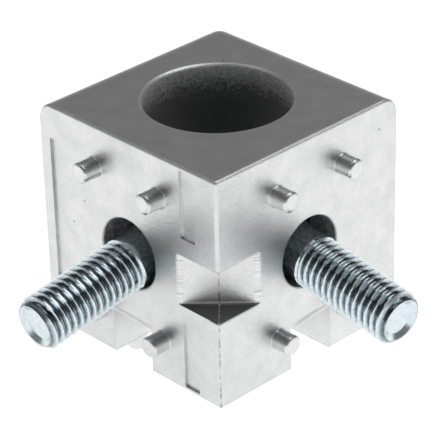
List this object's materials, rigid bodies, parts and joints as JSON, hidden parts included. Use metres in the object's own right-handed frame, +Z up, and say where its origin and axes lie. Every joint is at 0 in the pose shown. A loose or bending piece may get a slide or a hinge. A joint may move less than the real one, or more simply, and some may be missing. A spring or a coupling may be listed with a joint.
{
  "type": "cube connector",
  "caption": "Die-cast cube that joins the ends of square profiles at a corner, with locating pins, edge notches, stepped access bores that cross inside, and two loose socket screws.",
  "frame": {"origin": "middle of the bottom connecting face, which is also the middle of its four locating pins and of its screw hole", "axes": "+Z up out of the top access bore, +X out of the right connecting face, -Y out of the left connecting face"},
  "size_m": [0.0677, 0.0675, 0.0487],
  "materials": {
    "cast_aluminium": "as cast, fine matt blasted skin",
    "zinc_plated_steel": "bright zinc plating with a blue tint"
  },
  "bodies": {
    "root": {"cube_body": "cast_aluminium", "left_screw": "zinc_plated_steel", "right_screw": "zinc_plated_steel"}
  },
  "joints": []
}
